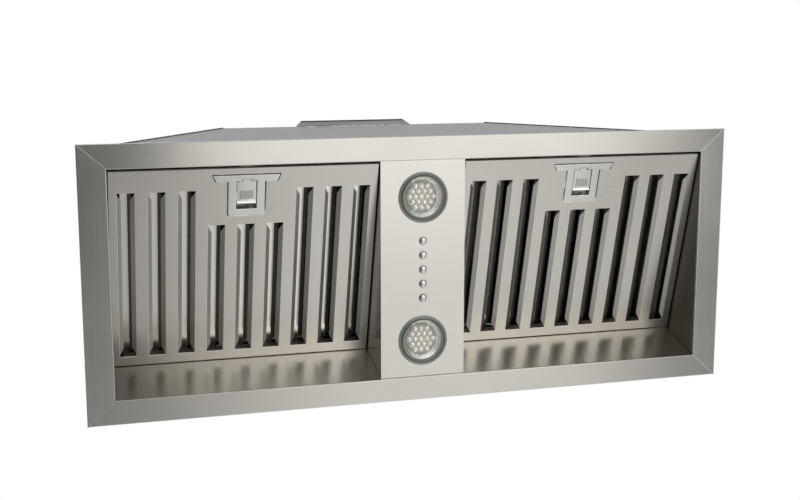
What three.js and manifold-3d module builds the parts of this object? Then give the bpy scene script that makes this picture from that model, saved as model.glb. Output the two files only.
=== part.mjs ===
// Range hood insert: a stainless steel liner that hangs inside a cabinet over a cooker.
// Frame: +Z up as installed, -Y towards the cook, +X to the cook's right. All sizes in millimetres.
// The origin is the middle of the trim frame's lower face, which looks down at the cooker.

import * as THREE from 'three'
import { mergeVertices } from 'three/addons/utils/BufferGeometryUtils.js'
import Module from 'manifold-3d'

const wasm = await Module()
wasm.setup()

// ---------------------------------------------------------------- driving dimensions

const seatGap = 0.3 // between two parts that rest on each other

// Trim frame: four mitred strips of folded sheet round the underside
const trimLength = 864
const trimDepth = 348
const sideTrimWidth = 35
const endTrimWidth = 31
const trimSheet = 1.5
const innerHem = 14
const outerHem = 10
const lipRadius = 1.2
const mitreGap = 0.3

// Outer shell: upright below, then tapering to a narrow top
const shellInset = 11
const shellSheet = 1.2
const shellHeight = 342
const shoulderHeight = 52
const shellTopHalf = 207.7
const rimLip = 6
const topSheet = 1.2
const lipSlotLength = 9
const lipSlotHeight = 2.6
const lipSlotSpots = [-190, -72, -38, -14, 18, 40, 200]

// Hanging brackets on the shell's front and rear rims
const bracketHalf = 91
const bracketStand = 22.3
const bracketRise = 10
const bracketLean = 6.5
const bracketSheet = 1.2

// Filter bays: sheet liner round each filter
const linerSheet = 1.0
const columnHalf = 57
const filterRise = 75
const ledgeRun = 22.9
const railSetback = 7.5
const wallOverFilter = 1.8
const keeperLength = 30
const keeperHeight = 1.6
const keeperDepth = 5.7

// Baffle filters
const filterFrontInset = 2
const filterFrontZ = 4
const filterSideGap = 1.6
const filterEndGap = 1.1
const filterThickness = 23.4
const plateSheet = 0.8
const slotCount = 9
const slotWidth = 21.5
const slotSideMargin = 9.7
const slotTop = 30
const shortSlotTop = 77
const shortSlots = [3, 4, 5]
const slotEndMargin = 13
const flankDepth = 3.4
const flankLean = 5.4
const flankSheet = 1.4
const flankTaper = 12
const panWall = 9.5
const rearPanHem = 6
const rearPanInset = 14.4
const rearRibWidth = 19.6
const rearRibEnd = 14
const rearSlotMargin = 7
const hookLength = 12
const hookWidth = 20
const hookSheet = 2
const hookHeight = 5
const hookSpread = 110
const hookClearance = 0.6

// Filter latch: a T-shaped plate with a sliding finger pull and tongue
const latchBarHalf = 42
const latchBarTaper = 4
const latchStart = 11
const latchBarDepth = 8.5
const latchStemHalf = 23
const latchEnd = 65
const latchCorner = 3
const latchWindowHalf = 13
const latchWindowStart = 18.8
const latchWindowEnd = 56.2
const latchPlate = 2
const latchBoxDepth = 12
const latchBoxWall = 1.5
const latchGap = 1.5
const latchSeat = 0.4
const pullGap = 0.9
const pullEnd = 49.9
const pullRoll = 2.1
const pullSheet = 1.5
const fingerNotchHalf = 6
const fingerNotchDepth = 2.6
const padHalf = 8.2
const padStart = 32
const padEnd = 43
const tongueHalf = 8
const tongueReach = 6.5
const tongueSheet = 2
const tongueHeight = 3.2

// Centre column with the lamps and the push buttons
const panelSheet = 1.5
const columnWall = 1.2
const columnLap = 7.2
const columnRearHeight = 60
const lampSpacing = 189.2
const lampRingRadius = 33.25
const lampHoleRadius = 29
const lampProud = 3.2
const lampLip = 1.2
const lensRadius = 26.4
const lensWindow = 24.6
const lensSeat = 2.6
const lampSleeve = 11
const lampBodyHeight = 30
const buttonCount = 5
const buttonPitch = 18.9
const buttonRadius = 5
const buttonProud = 2.8
const buttonLength = 8.6
const buttonClearance = 0.4
const buttonStroke = 2.3
const stemRadius = 2.2
const stemLength = 6.8
const switchHalfX = 14
const switchMargin = 12
const switchHeight = 19

// Blower: double-inlet centrifugal fan in a scroll housing under the top plate
const impellerRadius = 75
const impellerInner = 60
const impellerHalf = 50
const bladeCount = 30
const bladeSheet = 1.4
const impellerY = 22
const impellerZ = 215
const scrollStart = 84
const scrollEnd = 118
const cutoffAngle = 75
const scrollHalf = 57
const scrollSheet = 1.2
const inletRadius = 62
const outletFlange = 102
const hubRadius = 14
const hubHalf = 16
const shaftRadius = 5
const shaftClearance = 0.3
const motorRadius = 43
const motorLength = 58
const motorStart = 66
const shaftEntry = 22
const clampStart = 16
const clampWidth = 12
const clampSheet = 2.5
const legSpread = 18
const legHalf = 9
const legSheet = 2
const legFoot = 10

// Duct collar with its back-draught damper
const collarRadius = 99
const collarY = -26
const collarSheet = 1.2
const collarHeight = 50
const collarFlange = 13
const collarBead = 12
const stopWidth = 5
const stopHeight = 7
const flapSheet = 1
const flapClearance = 1.3
const pinRadius = 2
const knuckleClearance = 0.3
const knuckleSheet = 1.2
const knuckleLength = 18

// Wiring box on the top plate
const wiringLength = 80
const wiringWidth = 60
const wiringHeight = 32
const wiringSheet = 1.2
const wiringX = 152
const wiringY = 62
const knockoutRadius = 11

// ---------------------------------------------------------------- sizes that follow

const openHalfX = trimLength / 2 - sideTrimWidth
const openHalfY = trimDepth / 2 - endTrimWidth
const shellHalfX = trimLength / 2 - shellInset
const shellHalfY = trimDepth / 2 - shellInset
const shellInsideY = shellHalfY - shellSheet
const linerZ = 2 * trimSheet + seatGap
const shellFootZ = trimSheet + seatGap
const topPlateZ = shellHeight - rimLip
const topFaceZ = topPlateZ + topSheet
const shellTaper = (shellHalfX - shellTopHalf) / (shellHeight - shoulderHeight)

// The filter's lower face runs from the front trim up to the top of the rear ledge.
const filterFrontY = -openHalfY + filterFrontInset
const ledgeTopY = openHalfY - ledgeRun
const hingeY = ledgeTopY - filterEndGap
const filterLength = Math.hypot(hingeY - filterFrontY, filterRise - filterFrontZ)
const filterAngle = Math.atan2(filterRise - filterFrontZ, hingeY - filterFrontY)
const bayWidth = openHalfX - columnHalf
const filterHalf = bayWidth / 2 - filterSideGap
const bayCentre = (openHalfX + columnHalf) / 2
const railY = -openHalfY - railSetback

// ---------------------------------------------------------------- materials

const finish = (colour, roughness, metalness) =>
  new THREE.MeshStandardMaterial({ color: colour, roughness, metalness })

const brushedSteel = finish(0xc9c5bd, 0.34, 1)
const polishedSteel = finish(0xb9b5ac, 0.16, 1)
const shellSteel = finish(0x97989a, 0.45, 1)
const latchSteel = finish(0xd0d1cf, 0.3, 1)
const chrome = finish(0xe6e6e4, 0.08, 1)
const castGrey = finish(0x7f827d, 0.42, 0.6)
const clearGlass = new THREE.MeshStandardMaterial({
  color: 0xf4efdf,
  roughness: 0.1,
  metalness: 0,
  transparent: true,
  opacity: 0.5,
})
const darkPlastic = finish(0x24262a, 0.55, 0)
const motorPaint = finish(0x3a3c40, 0.5, 0.4)

// ---------------------------------------------------------------- solids

function solidOf(geometry) {
  const bare = geometry.clone()
  for (const name of Object.keys(bare.attributes)) {
    if (name !== 'position') bare.deleteAttribute(name)
  }
  const merged = mergeVertices(bare, 1e-4)
  return new wasm.Manifold(
    new wasm.Mesh({
      numProp: 3,
      vertProperties: new Float32Array(merged.attributes.position.array),
      triVerts: new Uint32Array(merged.index.array),
    }),
  )
}

function geometryOf(solid) {
  const mesh = solid.getMesh()
  const geometry = new THREE.BufferGeometry()
  geometry.setAttribute('position', new THREE.BufferAttribute(mesh.vertProperties, 3))
  geometry.setIndex(new THREE.BufferAttribute(mesh.triVerts, 1))
  const flat = geometry.toNonIndexed()
  flat.computeVertexNormals()
  return flat
}

const asSolid = (thing) => (thing.isBufferGeometry ? solidOf(thing) : thing)
const join = (...parts) => parts.map(asSolid).reduce((a, b) => a.add(b))
const cut = (base, ...tools) => tools.map(asSolid).reduce((a, b) => a.subtract(b), asSolid(base))
const common = (a, b) => asSolid(a).intersect(asSolid(b))

function box(x0, x1, y0, y1, z0, z1) {
  const geometry = new THREE.BoxGeometry(x1 - x0, y1 - y0, z1 - z0)
  return geometry.translate((x0 + x1) / 2, (y0 + y1) / 2, (z0 + z1) / 2)
}

const outline = (points) => new THREE.Shape(points.map(([u, v]) => new THREE.Vector2(u, v)))
const rectangle = (u0, u1, v0, v1) => outline([[u0, v0], [u1, v0], [u1, v1], [u0, v1]])

function extrude(shape, length, segments = 6) {
  return new THREE.ExtrudeGeometry(shape, { depth: length, bevelEnabled: false, curveSegments: segments })
}

const basis = (x, y, z) => new THREE.Matrix4().makeBasis(x, y, z)
const unit = (x, y, z) => new THREE.Vector3(x, y, z)

// A profile drawn in (y, z) and extruded along X, one in (x, z) along Y, one in (x, y) along Z
const alongX = (shape, x0, x1, segments) =>
  extrude(shape, x1 - x0, segments)
    .applyMatrix4(basis(unit(0, 1, 0), unit(0, 0, 1), unit(1, 0, 0)))
    .translate(x0, 0, 0)
const alongY = (shape, y0, y1, segments) =>
  extrude(shape, y1 - y0, segments)
    .applyMatrix4(basis(unit(1, 0, 0), unit(0, 0, 1), unit(0, -1, 0)))
    .translate(0, y1, 0)
const alongZ = (shape, z0, z1, segments) => extrude(shape, z1 - z0, segments).translate(0, 0, z0)

// Outline of a bent sheet: the path is one face, and the other lies to its left by the thickness.
function bentSheet(path, thickness) {
  const points = path.map(([u, v]) => new THREE.Vector2(u, v))
  const normals = points.slice(1).map((p, i) => {
    const run = p.clone().sub(points[i]).normalize()
    return new THREE.Vector2(-run.y, run.x)
  })
  const inner = points.map((p, i) => {
    const before = normals[Math.max(i - 1, 0)]
    const after = normals[Math.min(i, normals.length - 1)]
    const mid = before.clone().add(after).normalize()
    return p.clone().addScaledVector(mid, thickness / mid.dot(after))
  })
  return new THREE.Shape([...points, ...inner.reverse()])
}

// A solid of revolution about the Z axis; its profile is a closed list of [radius, z]
function turned(profile, segments = 28) {
  const points = [...profile, profile[0]].map(([r, z]) => new THREE.Vector2(r, z))
  return new THREE.LatheGeometry(points, segments).rotateX(Math.PI / 2)
}

// The same about an axis along X through the impeller's centre, with [radius, x] points
function turnedAboutShaft(profile, segments = 28) {
  return turned(profile, segments).rotateY(Math.PI / 2).translate(0, impellerY, impellerZ)
}

const model = new THREE.Group()

function place(name, thing, material, group = model) {
  const mesh = new THREE.Mesh(geometryOf(asSolid(thing)), material)
  mesh.name = name
  group.add(mesh)
  return mesh
}

const sides = [['left', -1], ['right', 1]]

// ---------------------------------------------------------------- trim frame

// Folded strip: doubled along both edges, single between, with a rounded lip inside.
function trimProfile(start, width) {
  const hem = 2 * trimSheet
  const end = start + width
  const shape = new THREE.Shape()
  shape.moveTo(start + lipRadius, 0)
  shape.lineTo(end - trimSheet, 0)
  shape.absarc(end - trimSheet, trimSheet, trimSheet, -Math.PI / 2, Math.PI / 2, false)
  shape.lineTo(end - outerHem, hem)
  shape.lineTo(end - outerHem, trimSheet)
  shape.lineTo(start + innerHem, trimSheet)
  shape.lineTo(start + innerHem, hem)
  shape.lineTo(start, hem)
  shape.lineTo(start, lipRadius)
  shape.absarc(start + lipRadius, lipRadius, lipRadius, Math.PI, 1.5 * Math.PI, false)
  return shape
}

// Everything past the mitre line of the +X +Y corner, on the side that `turn` points to
function mitreCut(turn) {
  const inner = new THREE.Vector2(openHalfX, openHalfY)
  const outer = new THREE.Vector2(trimLength / 2, trimDepth / 2)
  const run = outer.clone().sub(inner).normalize()
  const across = new THREE.Vector2(-run.y, run.x).multiplyScalar(turn)
  const reach = sideTrimWidth + endTrimWidth
  const from = inner.clone().addScaledVector(run, -reach).addScaledVector(across, -mitreGap / 2)
  const to = outer.clone().addScaledVector(run, reach).addScaledVector(across, -mitreGap / 2)
  const far = trimLength
  const corners = [from, to, to.clone().addScaledVector(across, far), from.clone().addScaledVector(across, far)]
  return alongZ(new THREE.Shape(corners), -1, 2 * trimSheet + 1)
}

const mirrored = (thing, x, y) => asSolid(thing).mirror([x, y, 0])

function trimStrips() {
  const pastCorner = mitreCut(1)
  const beforeCorner = mitreCut(-1)
  const side = alongY(trimProfile(openHalfX, sideTrimWidth), -trimDepth / 2, trimDepth / 2)
  const end = alongX(trimProfile(openHalfY, endTrimWidth), -trimLength / 2, trimLength / 2)
  const right = cut(side, pastCorner, mirrored(pastCorner, 0, 1))
  const rear = cut(end, beforeCorner, mirrored(beforeCorner, 1, 0))
  place('right_trim', right, brushedSteel)
  place('left_trim', mirrored(right, 1, 0), brushedSteel)
  place('rear_trim', rear, brushedSteel)
  place('front_trim', mirrored(rear, 0, 1), brushedSteel)
}

// ---------------------------------------------------------------- outer shell

const shellX = (z) => shellHalfX - Math.max(z - shoulderHeight, 0) * shellTaper

// The room that the shell leaves for the parts inside it
function shellRoom() {
  const skin = (shellSheet + seatGap) * Math.hypot(1, shellTaper)
  const half = (z) => shellX(z) - skin
  const depth = shellInsideY - seatGap
  const corners = [[half(0), 0], [half(0), shoulderHeight], [half(shellHeight), shellHeight]]
  const shape = outline([...corners, ...corners.map(([x, z]) => [-x, z]).reverse()])
  return alongY(shape, -depth, depth)
}

function shellEndPlate() {
  const shape = outline([
    [-shellHalfX, shellFootZ],
    [shellHalfX, shellFootZ],
    [shellHalfX, shoulderHeight],
    [shellTopHalf, shellHeight],
    [-shellTopHalf, shellHeight],
    [-shellHalfX, shoulderHeight],
  ])
  const plate = alongY(shape, -shellHalfY, -shellInsideY)
  const slotZ = topFaceZ + (shellHeight - topFaceZ - lipSlotHeight) / 2
  const slots = lipSlotSpots.map((x) =>
    box(x - lipSlotLength / 2, x + lipSlotLength / 2, -shellHalfY - 1, -shellInsideY + 1, slotZ, slotZ + lipSlotHeight),
  )
  return cut(plate, ...slots)
}

function shellSidePlate() {
  const top = topPlateZ - seatGap
  const path = [[shellHalfX, shellFootZ], [shellHalfX, shoulderHeight], [shellX(top), top]]
  const plate = alongY(bentSheet(path, shellSheet), -shellInsideY + seatGap, shellInsideY - seatGap)
  const above = box(0, shellHalfX, -shellHalfY, shellHalfY, top, top + shellSheet * 2)
  return cut(plate, above)
}

function topPlate() {
  const half = shellX(topPlateZ)
  const depth = shellInsideY - seatGap
  const shape = rectangle(-half, half, -depth, depth)
  const hole = new THREE.Path()
  hole.absarc(0, collarY, collarRadius - collarSheet - stopWidth, 0, 2 * Math.PI, true)
  shape.holes.push(hole)
  return alongZ(shape, topPlateZ, topFaceZ, 18)
}

// Sheet tab that stands on the top plate inside the rim; it leans out over the rim, between
// ends cut at 45 degrees.
function hangingBracket() {
  const back = -shellInsideY + seatGap + bracketSheet
  const fold = shellHeight + bracketStand
  const top = fold + bracketRise
  const path = [
    [back, topFaceZ + seatGap],
    [back, fold],
    [back - bracketLean - bracketSheet, top],
  ]
  const sheet = alongX(bentSheet(path, bracketSheet), -bracketHalf, bracketHalf)
  const room = outline([
    [-bracketHalf, topFaceZ],
    [bracketHalf, topFaceZ],
    [bracketHalf, fold],
    [bracketHalf - bracketRise, top],
    [-bracketHalf + bracketRise, top],
    [-bracketHalf, fold],
  ])
  return common(sheet, alongY(room, -shellHalfY - 2 * bracketRise, 0))
}

function shell() {
  const front = shellEndPlate()
  const right = shellSidePlate()
  const bracket = hangingBracket()
  place('shell_front', front, shellSteel)
  place('shell_rear', mirrored(front, 0, 1), shellSteel)
  place('shell_right', right, shellSteel)
  place('shell_left', mirrored(right, 1, 0), shellSteel)
  place('top_plate', topPlate(), shellSteel)
  place('hanging_bracket_front', bracket, shellSteel)
  place('hanging_bracket_rear', mirrored(bracket, 0, 1), shellSteel)
}

// ---------------------------------------------------------------- filter bays

// Height of a line parallel to the filter's lower face, `over` above it, at a given y
const slopeZ = (y, over) =>
  filterFrontZ + (y - filterFrontY) * Math.tan(filterAngle) + over / Math.cos(filterAngle)

const wallTop = filterThickness + wallOverFilter
const upstandTopY = ledgeTopY - Math.sin(filterAngle) * wallTop
const upstandTopZ = filterRise + Math.cos(filterAngle) * wallTop

// Side view of a bay wall, in (y, z): it follows the filter's slope along its top.
function baySideOutline(frontY, rearY) {
  return [
    [frontY, linerZ],
    [rearY, linerZ],
    [rearY, columnRearHeight],
    [upstandTopY, upstandTopZ],
    [frontY, slopeZ(frontY, wallTop)],
  ]
}

// The filter's own frame at rest: X across, Y up the slope from its front edge, Z off its lower face
function filterFrame(side) {
  const frame = new THREE.Group()
  frame.position.set(side * bayCentre, filterFrontY, filterFrontZ)
  frame.rotation.x = filterAngle
  frame.updateMatrixWorld(true)
  return frame
}

function rearLedge(side) {
  const inner = columnHalf + seatGap
  const outer = openHalfX - seatGap
  const path = [
    [openHalfY + innerHem - 1, linerZ],
    [openHalfY + seatGap, linerZ],
    [ledgeTopY, filterRise],
    [upstandTopY, upstandTopZ],
  ]
  const sheet = alongX(bentSheet(path, -linerSheet), inner, outer)
  const slots = [-1, 1].map((hook) => {
    const centre = hook * hookSpread
    const half = hookWidth / 2 + hookClearance
    const swept = Math.hypot(hookLength, hookHeight + hookSheet) + hookClearance
    return box(centre - half, centre + half, filterLength - 1, filterLength + hookLength,
      hookHeight - seatGap, swept).applyMatrix4(filterFrame(1).matrixWorld)
  })
  const right = common(cut(sheet, ...slots), shellRoom())
  return side > 0 ? right : mirrored(right, 1, 0)
}

function bayWall() {
  const face = openHalfX + seatGap
  const foot = openHalfX + innerHem - 1
  const height = upstandTopZ + linerSheet
  const front = railY + seatGap
  const rear = openHalfY - seatGap
  const section = outline([
    [face, linerZ],
    [foot, linerZ],
    [foot, linerZ + linerSheet],
    [face + linerSheet, linerZ + linerSheet],
    [face + linerSheet, height],
    [face, height],
  ])
  const sheet = alongY(section, front, rear)
  const sloped = common(sheet, alongX(outline(baySideOutline(front, rear)), 0, trimLength))
  return common(sloped, shellRoom())
}

// Angle strip behind the front trim; both filters latch over it.
function frontRail() {
  const half = openHalfX + innerHem / 2
  const height = slopeZ(railY, wallTop) - seatGap
  const foot = -openHalfY - innerHem + 1
  return alongX(
    outline([
      [foot, linerZ],
      [railY, linerZ],
      [railY, height],
      [railY - linerSheet, height],
      [railY - linerSheet, linerZ + linerSheet],
      [foot, linerZ + linerSheet],
    ]),
    -half,
    half,
  )
}

function filterBays() {
  const wall = bayWall()
  place('bay_wall_right', wall, brushedSteel)
  place('bay_wall_left', mirrored(wall, 1, 0), brushedSteel)
  place('front_rail', frontRail(), brushedSteel)
  for (const [name, side] of sides) {
    place(`rear_ledge_${name}`, rearLedge(side), polishedSteel)
    const centre = side * bayCentre
    const keeper = box(centre - keeperLength / 2, centre + keeperLength / 2,
      railY + seatGap, railY + seatGap + keeperDepth, linerZ, linerZ + keeperHeight)
    place(`latch_keeper_${name}`, keeper, latchSteel)
  }
}

// ---------------------------------------------------------------- baffle filters

const slotPitch = (2 * filterHalf - 2 * slotSideMargin - slotWidth) / (slotCount - 1)
const slotRear = filterLength - slotEndMargin

const slots = Array.from({ length: slotCount }, (_, i) => {
  const left = -filterHalf + slotSideMargin + i * slotPitch
  return { left, right: left + slotWidth, front: shortSlots.includes(i) ? shortSlotTop : slotTop, rear: slotRear }
})

// One bent-back slot side: a leaning strip that tapers at its ends
function flank(x, slot, side) {
  const root = plateSheet / 2
  const { front, rear } = slot
  const strip = alongY(
    outline([
      [x - side * flankSheet, root],
      [x, root],
      [x + side * flankLean, flankDepth],
      [x + side * (flankLean - flankSheet), flankDepth],
    ]),
    front,
    rear,
  )
  const taper = outline([[front, 0], [rear, 0], [rear - flankTaper, flankDepth + root], [front + flankTaper, flankDepth + root]])
  return common(strip, alongX(taper, x - 2 * flankLean, x + 2 * flankLean))
}

// Slotted plate with bent-back slot sides, its face down at z = 0
function slottedPlate(left, right, length, openings) {
  const face = box(left, right, 0, length, 0, plateSheet)
  const holes = openings.map((slot) => box(slot.left, slot.right, slot.front, slot.rear, -1, 2 * plateSheet))
  const flanks = openings.flatMap((slot) => [flank(slot.left, slot, 1), flank(slot.right, slot, -1)])
  return join(cut(face, ...holes), ...flanks)
}

// Folded edges between two heights: a wall along each end and one along each side
function foldedEdges(left, right, length, endWall, sideWall) {
  const sheet = plateSheet
  const between = box(left - 1, right + 1, sheet, length - sheet, -filterThickness, filterThickness)
  const along = box(left + sheet, right - sheet, -1, length + 1, -filterThickness, filterThickness)
  const ends = cut(box(left, right, 0, length, ...endWall), between)
  const walls = cut(box(left, right, 0, length, ...sideWall), along)
  return join(ends, walls)
}

// The T outline of the latch plate, grown for the hole that it sits in: the gap is wide along the
// top and the sides, and narrow below.
function latchOutline(gap, seat) {
  const bar = latchBarHalf + gap
  const stem = latchStemHalf + gap
  const start = latchStart - gap
  const shoulder = latchStart + latchBarDepth + seat
  const end = latchEnd + seat
  const low = bar - latchBarTaper
  const shape = new THREE.Shape()
  shape.moveTo(-bar, start)
  shape.lineTo(bar, start)
  shape.lineTo(low, shoulder)
  shape.lineTo(stem, shoulder)
  shape.lineTo(stem, end - latchCorner)
  shape.absarc(stem - latchCorner, end - latchCorner, latchCorner, 0, Math.PI / 2, false)
  shape.absarc(-stem + latchCorner, end - latchCorner, latchCorner, Math.PI / 2, Math.PI, false)
  shape.lineTo(-stem, shoulder)
  shape.lineTo(-low, shoulder)
  return shape
}

const tongueHole = () =>
  box(-tongueHalf - seatGap, tongueHalf + seatGap, -1, 4 * plateSheet,
    tongueHeight - seatGap, tongueHeight + tongueSheet + seatGap)

function frontPan() {
  const plate = slottedPlate(-filterHalf, filterHalf, filterLength, slots)
  const edges = foldedEdges(-filterHalf, filterHalf, filterLength, [0, panWall], [0, panWall])
  const latchHole = alongZ(latchOutline(latchGap, latchSeat), -1, 2 * plateSheet, 3)
  const hooks = [-1, 1].map((side) => {
    const centre = side * hookSpread
    return box(centre - hookWidth / 2, centre + hookWidth / 2, filterLength - plateSheet,
      filterLength + hookLength, hookHeight, hookHeight + hookSheet)
  })
  return cut(join(plate, edges, ...hooks), latchHole, tongueHole())
}

// The rear pan's ribs stand behind the front slots. It stops short on its outer side, where it
// clears the shell's slope, and its end walls stand on the front pan.
function rearPan(side) {
  const inset = plateSheet + seatGap
  const inner = filterHalf - inset
  const outer = filterHalf - rearPanInset
  const left = side > 0 ? -inner : -outer
  const right = side > 0 ? outer : inner
  const length = filterLength - 2 * inset
  const face = filterThickness - flankDepth
  const openings = slots
    .map((slot) => {
      const start = slot.left + rearRibEnd
      const end = Math.min(start + slotPitch - rearRibWidth, right - 2 * plateSheet)
      return { left: start, right: end, front: slot.front, rear: length - rearSlotMargin }
    })
    .filter((slot) => slot.right - slot.left > 2 * flankLean)
  const plate = slottedPlate(left, right, length, openings)
  const edges = foldedEdges(left, right, length, [inset - face, plateSheet], [-rearPanHem, plateSheet])
  return cut(join(plate, edges).translate([0, inset, face]), tongueHole())
}

// T plate flush with the filter's face, with a shallow collar behind its window
function latchHousing() {
  const outer = latchWindowHalf + latchBoxWall
  const start = latchWindowStart - latchBoxWall - fingerNotchDepth
  const end = latchWindowEnd + latchBoxWall
  const collar = box(-outer, outer, start, end, latchPlate / 2, latchBoxDepth)
  const window = box(-latchWindowHalf, latchWindowHalf, latchWindowStart, latchWindowEnd, -1, latchBoxDepth + 1)
  const tongueSlot = box(-tongueHalf - seatGap, tongueHalf + seatGap, start - 1, latchWindowStart + 1,
    tongueHeight - seatGap, tongueHeight + tongueSheet + seatGap)
  const notch = box(-fingerNotchHalf, fingerNotchHalf, latchWindowStart - fingerNotchDepth, latchWindowStart + 1,
    -1, tongueHeight)
  return cut(join(alongZ(latchOutline(0, 0), 0, latchPlate, 3), collar), window, notch, tongueSlot)
}

// Finger pull: a plate with a rolled edge, a raised pad and the tongue behind it
function latchPull() {
  const half = latchWindowHalf - pullGap
  const start = latchWindowStart + pullGap
  const faceZ = plateSheet
  const plate = box(-half, half, start, pullEnd - pullRoll, faceZ, faceZ + pullSheet)
  const tabHalf = fingerNotchHalf - pullGap
  const tab = box(-tabHalf, tabHalf, start - fingerNotchDepth, start + pullSheet, faceZ, faceZ + pullSheet)
  const roll = alongX(
    new THREE.Shape().absarc(pullEnd - pullRoll, faceZ + pullSheet / 2, pullRoll, 0, 2 * Math.PI, false),
    -half,
    half,
    4,
  )
  const pad = box(-padHalf, padHalf, padStart, padEnd, faceZ - pullSheet / 3, faceZ + pullSheet / 2)
  const tongue = box(-tongueHalf, tongueHalf, -tongueReach, padEnd, tongueHeight, tongueHeight + tongueSheet)
  const bridge = box(-tongueHalf, tongueHalf, start + pullSheet, padEnd, faceZ + pullSheet / 2, tongueHeight + tongueSheet / 2)
  return join(plate, tab, roll, pad, tongue, bridge)
}

function baffleFilters() {
  const front = frontPan()
  const housing = latchHousing()
  const pull = latchPull()
  for (const [name, side] of sides) {
    const frame = filterFrame(side)
    model.add(frame)
    place(`filter_front_${name}`, front, brushedSteel, frame)
    place(`filter_rear_${name}`, rearPan(side), brushedSteel, frame)
    place(`latch_plate_${name}`, housing, latchSteel, frame)
    place(`latch_pull_${name}`, pull, latchSteel, frame)
  }
}

// ---------------------------------------------------------------- centre column

const columnEndY = openHalfY + columnLap
const panelTopZ = linerZ + panelSheet

// Open-topped box: its floor is the lamp and button panel, its sides guide the filters.
function centrePanel() {
  const outer = alongX(outline(baySideOutline(-columnEndY, columnEndY)), -columnHalf, columnHalf)
  const lift = panelTopZ - linerZ
  const high = upstandTopZ + columnRearHeight
  const hollow = box(-columnHalf + columnWall, columnHalf - columnWall, -columnEndY + columnWall,
    columnEndY - columnWall, linerZ + lift, high)
  const lampHoles = lampSpots.map((y) => drilled(0, y, lampHoleRadius, 32))
  const buttonHoles = buttonSpots.map((y) => drilled(0, y, buttonRadius + buttonClearance, 16))
  return cut(outer, hollow, ...lampHoles, ...buttonHoles)
}

const lampSpots = [-lampSpacing / 2, lampSpacing / 2]
const buttonSpots = Array.from({ length: buttonCount }, (_, i) => (i - (buttonCount - 1) / 2) * buttonPitch)

function drilled(x, y, radius, segments) {
  return new THREE.CylinderGeometry(radius, radius, 4 * panelSheet, segments)
    .rotateX(Math.PI / 2)
    .translate(x, y, linerZ + panelSheet / 2)
}

// Lid over the column's wiring, parallel to the filters
function columnCover() {
  const front = -columnEndY + columnWall
  const low = slopeZ(front, wallTop) + seatGap
  const rearZ = upstandTopZ + seatGap
  const end = upstandTopY
  return alongX(
    outline([[front, low], [end, rearZ], [end, rearZ + columnWall], [front, low + columnWall]]),
    -columnHalf,
    columnHalf,
  )
}

// Conical bezel with grooves, and a sleeve that passes up through the panel
function lampRing() {
  const face = linerZ - lampProud
  const under = linerZ - seatGap
  const sleeve = lampHoleRadius - seatGap
  const sleeveTop = panelTopZ + lampSleeve
  const bore = lensRadius + seatGap
  const lip = lensWindow + seatGap
  return turned([
    [lip, face + 0.3],
    [lip + 0.4, face],
    [lip + lampLip, face],
    [lip + lampLip + 0.5, face + 0.7],
    [lampRingRadius - 2.6, under - 1.1],
    [lampRingRadius - 2.2, under - 1.4],
    [lampRingRadius - 0.6, under - 0.7],
    [lampRingRadius, under],
    [sleeve, under],
    [sleeve, sleeveTop],
    [bore, sleeveTop],
    [bore, face + lensSeat],
    [lip, face + lensSeat],
  ], 28)
}

// Glass with a low dome that shows in the ring's window
function lampLens() {
  const seat = linerZ - lampProud + lensSeat + seatGap
  const face = linerZ - lampProud + 0.2
  return turned([
    [0, face],
    [lensWindow * 0.7, face + 0.3],
    [lensWindow, face + 0.9],
    [lensWindow, seat],
    [lensRadius, seat],
    [lensRadius, seat + 2.2],
    [0, seat + 2.2],
  ], 28)
}

// Finned heat sink over the lens
function lampBody() {
  const foot = linerZ - lampProud + lensSeat + seatGap + 2.2 + seatGap
  const top = foot + lampBodyHeight
  const fin = 3
  const profile = [[0, foot], [lensRadius, foot]]
  for (let z = foot + 10; z < top - 2 * fin; z += 2 * fin) {
    profile.push([lensRadius, z], [lensRadius - 6, z], [lensRadius - 6, z + fin], [lensRadius, z + fin])
  }
  profile.push([lensRadius, top - fin], [lensRadius - 10, top], [0, top])
  return turned(profile, 20)
}

function pushButton() {
  const face = linerZ - buttonProud
  const capTop = face + buttonLength
  return turned([
    [0, face],
    [buttonRadius * 0.62, face + 0.25],
    [buttonRadius * 0.9, face + 0.8],
    [buttonRadius, face + 1.6],
    [buttonRadius, capTop],
    [stemRadius, capTop],
    [stemRadius, capTop + stemLength],
    [0, capTop + stemLength],
  ], 16)
}

function switchBlock() {
  const foot = panelTopZ + seatGap
  const halfY = ((buttonCount - 1) / 2) * buttonPitch + switchMargin
  const capRoom = linerZ - buttonProud + buttonLength + buttonStroke + seatGap
  const stemRoom = capRoom + stemLength
  const body = box(-switchHalfX, switchHalfX, -halfY, halfY, foot, foot + switchHeight)
  const bores = buttonSpots.map((y) =>
    turned([
      [0, foot - 1],
      [buttonRadius + buttonClearance, foot - 1],
      [buttonRadius + buttonClearance, capRoom],
      [stemRadius + buttonClearance, capRoom],
      [stemRadius + buttonClearance, stemRoom],
      [0, stemRoom],
    ], 16).translate(0, y, 0),
  )
  return cut(body, ...bores)
}

function centreColumn() {
  place('centre_panel', centrePanel(), brushedSteel)
  place('column_cover', columnCover(), shellSteel)
  const lampNames = ['front', 'rear']
  lampSpots.forEach((y, i) => {
    place(`lamp_ring_${lampNames[i]}`, asSolid(lampRing()).translate([0, y, 0]), castGrey)
    place(`lamp_lens_${lampNames[i]}`, asSolid(lampLens()).translate([0, y, 0]), clearGlass)
    place(`lamp_body_${lampNames[i]}`, asSolid(lampBody()).translate([0, y, 0]), motorPaint)
  })
  const buttonNames = ['light', 'high', 'medium', 'low', 'power']
  buttonSpots.forEach((y, i) => {
    place(`button_${buttonNames[i]}`, asSolid(pushButton()).translate([0, y, 0]), chrome)
  })
  place('switch_block', switchBlock(), darkPlastic)
}

// ---------------------------------------------------------------- blower

const radians = (degrees) => (degrees * Math.PI) / 180
const outletZ = topPlateZ - seatGap

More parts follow.
